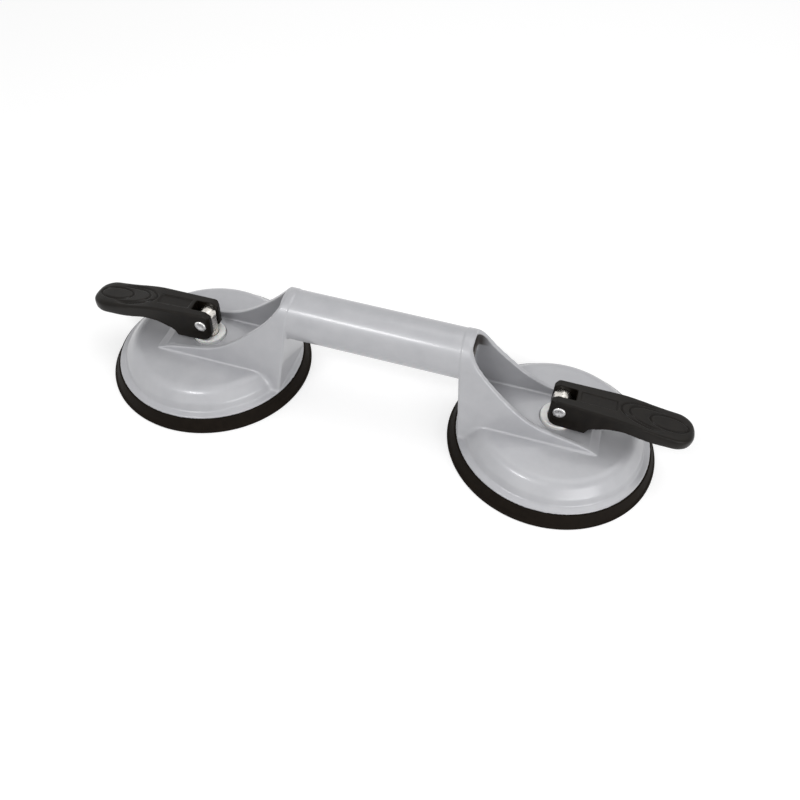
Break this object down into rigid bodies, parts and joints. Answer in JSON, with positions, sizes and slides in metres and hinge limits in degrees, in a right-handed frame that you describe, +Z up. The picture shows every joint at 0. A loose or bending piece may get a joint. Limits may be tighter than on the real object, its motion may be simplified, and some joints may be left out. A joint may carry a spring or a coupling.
{
  "type": "suction lifter",
  "caption": "Suction lifter with vacuum cups, cam levers and a tubular bridge handle, for carrying glass and smooth panels.",
  "frame": {"origin": "on the ground under the middle of the handle, in the plane of the pads' lips", "axes": "+X along the handle towards the right cup, +Y to the back, +Z up"},
  "size_m": [0.3558, 0.12, 0.0687],
  "materials": {
    "casting": "die-cast, silver-grey lacquer, satin",
    "rubber": "moulded, matt",
    "lever": "moulded black, satin",
    "steel": "bright zinc-plated",
    "disc": "white nylon, smooth",
    "bush": "natural plastic, turned"
  },
  "bodies": {
    "root": {"body_casting": "casting", "left_rubber_pad": "rubber", "left_guide_bush": "bush", "left_sliding_disc": "disc", "right_rubber_pad": "rubber", "right_guide_bush": "bush", "right_sliding_disc": "disc"},
    "left_stud_unit": {"left_pull_stud": "steel", "left_pad_plate": "steel"},
    "left_lever_unit": {"left_lever": "lever", "left_lever_pin": "steel"},
    "right_stud_unit": {"right_pull_stud": "steel", "right_pad_plate": "steel"},
    "right_lever_unit": {"right_lever": "lever", "right_lever_pin": "steel"}
  },
  "joints": [
    {"name": "left_stud_slide", "type": "slide", "parent": "root", "child": "left_stud_unit", "axis": [0, 0, 1], "range_m": [-0.0036, 0], "deforming": ["left_rubber_pad"]},
    {"name": "left_lever_hinge", "type": "hinge", "parent": "left_stud_unit", "child": "left_lever_unit", "pos_m": [-0.1055, 0, 0.0352], "axis": [0, 1, 0], "range_deg": [0, 90]},
    {"name": "right_stud_slide", "type": "slide", "parent": "root", "child": "right_stud_unit", "axis": [0, 0, 1], "range_m": [-0.0036, 0], "deforming": ["right_rubber_pad"]},
    {"name": "right_lever_hinge", "type": "hinge", "parent": "right_stud_unit", "child": "right_lever_unit", "pos_m": [0.1055, 0, 0.0352], "axis": [0, -1, 0], "range_deg": [0, 90]}
  ],
  "couplings": [
    {"joint": "left_lever_hinge", "follows": "left_stud_slide", "rad_per_m": -436.33},
    {"joint": "right_lever_hinge", "follows": "right_stud_slide", "rad_per_m": -436.33}
  ]
}
